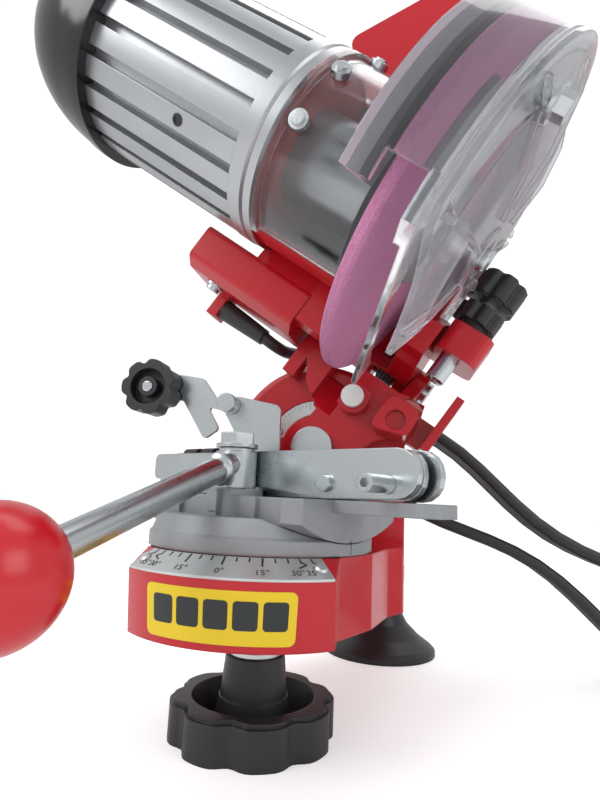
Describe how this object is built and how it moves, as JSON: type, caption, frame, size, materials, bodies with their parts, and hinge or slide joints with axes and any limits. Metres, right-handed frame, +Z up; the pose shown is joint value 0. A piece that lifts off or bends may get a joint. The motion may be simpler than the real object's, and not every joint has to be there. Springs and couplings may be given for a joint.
{
  "type": "bench chain sharpener",
  "caption": "Electric chain sharpener for a bench: a tilting grinding head with a finned motor over a turning chain vise.",
  "frame": {"origin": "centre of the clamp knob's underside, on the axis of the turntable", "axes": "+Z up, -Y towards the user, +X to the right"},
  "size_m": [0.4462, 0.2965, 0.3565],
  "materials": {
    "red_paint": "glossy red enamel on a casting",
    "scale_plate": "polished sheet with dark marks",
    "zinc": "bright zinc plate",
    "black_plastic": "satin black moulding",
    "cast_alu": "blasted cast aluminium",
    "red_ball": "glossy red moulding",
    "spring_steel": "oiled spring wire",
    "motor_alu": "silver lacquered aluminium",
    "copper": "enamelled copper and steel sheets",
    "cap_plastic": "black gloss moulding",
    "rotor_steel": "bare steel",
    "abrasive": "pink ceramic grit",
    "clear_plastic": "clear polycarbonate",
    "cord_rubber": "black cord sheath"
  },
  "bodies": {
    "base": {"base_casting": "red_paint", "vise_scale_plate": "scale_plate", "scale_rivets": "zinc", "tilt_scale_plate": "scale_plate", "tilt_scale_rivets": "zinc", "rear_foot": "black_plastic", "foot_bolt": "zinc", "clamp_bush": "black_plastic", "clamp_washer": "zinc", "tilt_pivot_bolt": "zinc", "cord_lead_c": "cord_rubber", "cord_hank": "cord_rubber", "cord_tail": "cord_rubber", "mains_plug": "cord_rubber"},
    "turntable": {"turntable": "cast_alu", "clamp_stud": "zinc"},
    "vise": {"vise_block": "cast_alu", "fixed_jaw": "zinc", "jaw_guide_pins": "zinc", "lever_bolt": "zinc"},
    "moving_jaw": {"moving_jaw": "zinc"},
    "lever": {"clamp_lever": "zinc", "lever_ball": "red_ball"},
    "clamp_knob": {"clamp_knob": "black_plastic"},
    "stop_carriage": {"stop_bracket": "zinc", "stop_hinge_pin": "zinc"},
    "stop_arm": {"stop_arm": "zinc"},
    "stop_knob": {"stop_knob": "black_plastic"},
    "adjuster": {"adjust_screw": "black_plastic"},
    "adjust_lock": {"adjust_lock_knob": "black_plastic"},
    "tilt_bracket": {"tilt_bracket": "red_paint", "slot_bolt": "zinc", "pivot_shaft": "zinc", "return_spring": "spring_steel", "cord_lead_b": "cord_rubber"},
    "tilt_lock": {"tilt_lock_knob": "black_plastic"},
    "head": {"head_casting": "red_paint", "bearings": "zinc", "motor_ring": "motor_alu", "motor_housing": "motor_alu", "stator": "copper", "end_cap": "cap_plastic", "neck_shroud": "clear_plastic", "wheel_guard": "clear_plastic", "side_cover": "clear_plastic", "guard_screws": "zinc", "cover_screw": "zinc", "box_screws": "zinc", "cord_boot": "cord_rubber", "cord_lead_a": "cord_rubber"},
    "depth_screw": {"depth_screw": "zinc", "depth_knob": "black_plastic"},
    "depth_lock": {"depth_lock_knob": "black_plastic"},
    "rotor": {"rotor": "rotor_steel", "arbor_shaft": "zinc", "inner_flange": "cast_alu", "outer_flange": "cast_alu", "arbor_nut": "zinc", "grinding_wheel": "abrasive"},
    "switch": {"switch_rocker": "black_plastic"}
  },
  "joints": [
    {"name": "turntable_turn", "type": "hinge", "parent": "base", "child": "turntable", "pos_m": [0, 0, 0.083], "axis": [0, 0, 1], "range_deg": [-5, 65]},
    {"name": "vise_tilt", "type": "hinge", "parent": "turntable", "child": "vise", "pos_m": [0, 0, 0.134], "axis": [0.866, -0.5, 0], "range_deg": [-7, 7]},
    {"name": "lever_turn", "type": "hinge", "parent": "vise", "child": "lever", "pos_m": [-0.0082, -0.0142, 0.099], "axis": [0, 0, 1], "range_deg": [-50, 0]},
    {"name": "jaw_slide", "type": "slide", "parent": "vise", "child": "moving_jaw", "axis": [0.5, 0.866, 0], "range_m": [-0.0001, 0.0013]},
    {"name": "clamp_knob_turn", "type": "hinge", "parent": "turntable", "child": "clamp_knob", "pos_m": [0, 0, 0.015], "axis": [0, 0, 1], "range_deg": [-180, 180]},
    {"name": "stop_slide", "type": "slide", "parent": "vise", "child": "stop_carriage", "axis": [0.866, -0.5, 0], "range_m": [-0.003, 0.003]},
    {"name": "adjust_turn", "type": "hinge", "parent": "vise", "child": "adjuster", "pos_m": [-0.05076, 0.05009, 0.1], "axis": [0.866, -0.5, 0], "range_deg": [-720, 720]},
    {"name": "adjust_lock_turn", "type": "hinge", "parent": "vise", "child": "adjust_lock", "pos_m": [-0.03863, 0.04309, 0.1], "axis": [0.866, -0.5, 0], "range_deg": [-180, 180]},
    {"name": "stop_arm_flip", "type": "hinge", "parent": "stop_carriage", "child": "stop_arm", "pos_m": [-0.024, 0.02, 0.131], "axis": [0, 1, 0], "range_deg": [0, 40]},
    {"name": "stop_knob_turn", "type": "hinge", "parent": "stop_arm", "child": "stop_knob", "pos_m": [-0.06, 0.013, 0.137], "axis": [0, 1, 0], "range_deg": [-180, 180]},
    {"name": "head_tilt", "type": "hinge", "parent": "base", "child": "tilt_bracket", "pos_m": [0.012, 0.058, 0.114], "axis": [0, 1, 0], "range_deg": [-35, 0], "deforming": ["cord_lead_b"]},
    {"name": "tilt_lock_turn", "type": "hinge", "parent": "tilt_bracket", "child": "tilt_lock", "pos_m": [0.03191, 0.08, 0.13865], "axis": [0, 1, 0], "range_deg": [-90, 90]},
    {"name": "head_swing", "type": "hinge", "parent": "tilt_bracket", "child": "head", "pos_m": [0.03786, 0.075, 0.16806], "axis": [0.8192, 0, -0.5736], "range_deg": [0, 29], "stiffness_Nm_per_rad": 4, "springref_deg": -68.75, "deforming": ["cord_lead_a"]},
    {"name": "depth_screw_turn", "type": "hinge", "parent": "head", "child": "depth_screw", "pos_m": [0.08848, 0.046, 0.17412], "axis": [0.5736, 0, 0.8192], "range_deg": [-180, 180]},
    {"name": "depth_lock_turn", "type": "hinge", "parent": "head", "child": "depth_lock", "pos_m": [0.09078, 0.046, 0.1774], "axis": [0.5736, 0, 0.8192], "range_deg": [-180, 180]},
    {"name": "rotor_spin", "type": "hinge", "parent": "head", "child": "rotor", "pos_m": [0.06481, 0.0025, 0.20656], "axis": [0.8192, 0, -0.5736], "continuous": true},
    {"name": "switch_rock", "type": "hinge", "parent": "head", "child": "switch", "pos_m": [-0.02141, 0.0515, 0.19675], "axis": [0.5736, 0, 0.8192], "range_deg": [0, 12]}
  ],
  "couplings": [
    {"joint": "jaw_slide", "follows": "lever_turn", "m_per_rad": -0.001375},
    {"joint": "adjust_turn", "follows": "stop_slide", "rad_per_m": 4188.8}
  ]
}
